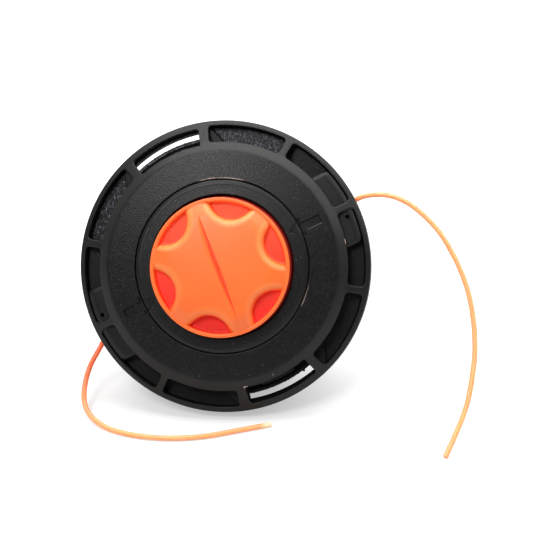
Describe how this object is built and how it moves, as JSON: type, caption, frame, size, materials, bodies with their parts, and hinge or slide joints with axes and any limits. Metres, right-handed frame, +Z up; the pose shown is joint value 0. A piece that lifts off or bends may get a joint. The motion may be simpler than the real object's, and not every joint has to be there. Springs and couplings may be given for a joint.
{
  "type": "trimmer head",
  "caption": "Round bump-feed string trimmer head: black vented rim and cover, orange finger-scalloped bump knob, and loose ends of orange line leaving opposite sides.",
  "frame": {"origin": "middle of the head's footprint, on the floor it leans back on", "axes": "+Z up; the knob faces -Y and up at 23 degrees; +X is to the right seen from the knob's side"},
  "size_m": [0.1795, 0.107, 0.1249],
  "materials": {
    "black_nylon": "fine moulded grain",
    "orange_plastic": "satin",
    "orange_line": "slightly clear extruded nylon",
    "spring_steel": "drawn wire",
    "plated_steel": "zinc plated"
  },
  "bodies": {
    "housing": {"upper_housing": "black_nylon", "lower_cover": "black_nylon", "arbor_nut": "plated_steel", "eyelet_right": "plated_steel", "eyelet_left": "plated_steel", "line_tail_right": "orange_line", "line_tail_left": "orange_line"},
    "spring": {"compression_spring": "spring_steel"},
    "spool": {"spool": "black_nylon", "bump_knob": "orange_plastic", "wound_line_front": "orange_line", "wound_line_rear": "orange_line"}
  },
  "joints": [
    {"name": "bump", "type": "slide", "parent": "housing", "child": "spring", "axis": [0, 0.9205, -0.3907], "range_m": [0, 0.0045], "stiffness_N_per_m": 1500, "springref_m": -0.008, "deforming": ["compression_spring"]},
    {"name": "wind", "type": "hinge", "parent": "spring", "child": "spool", "pos_m": [0, -0.00758, 0.06163], "axis": [0, -0.9205, 0.3907], "continuous": true}
  ]
}
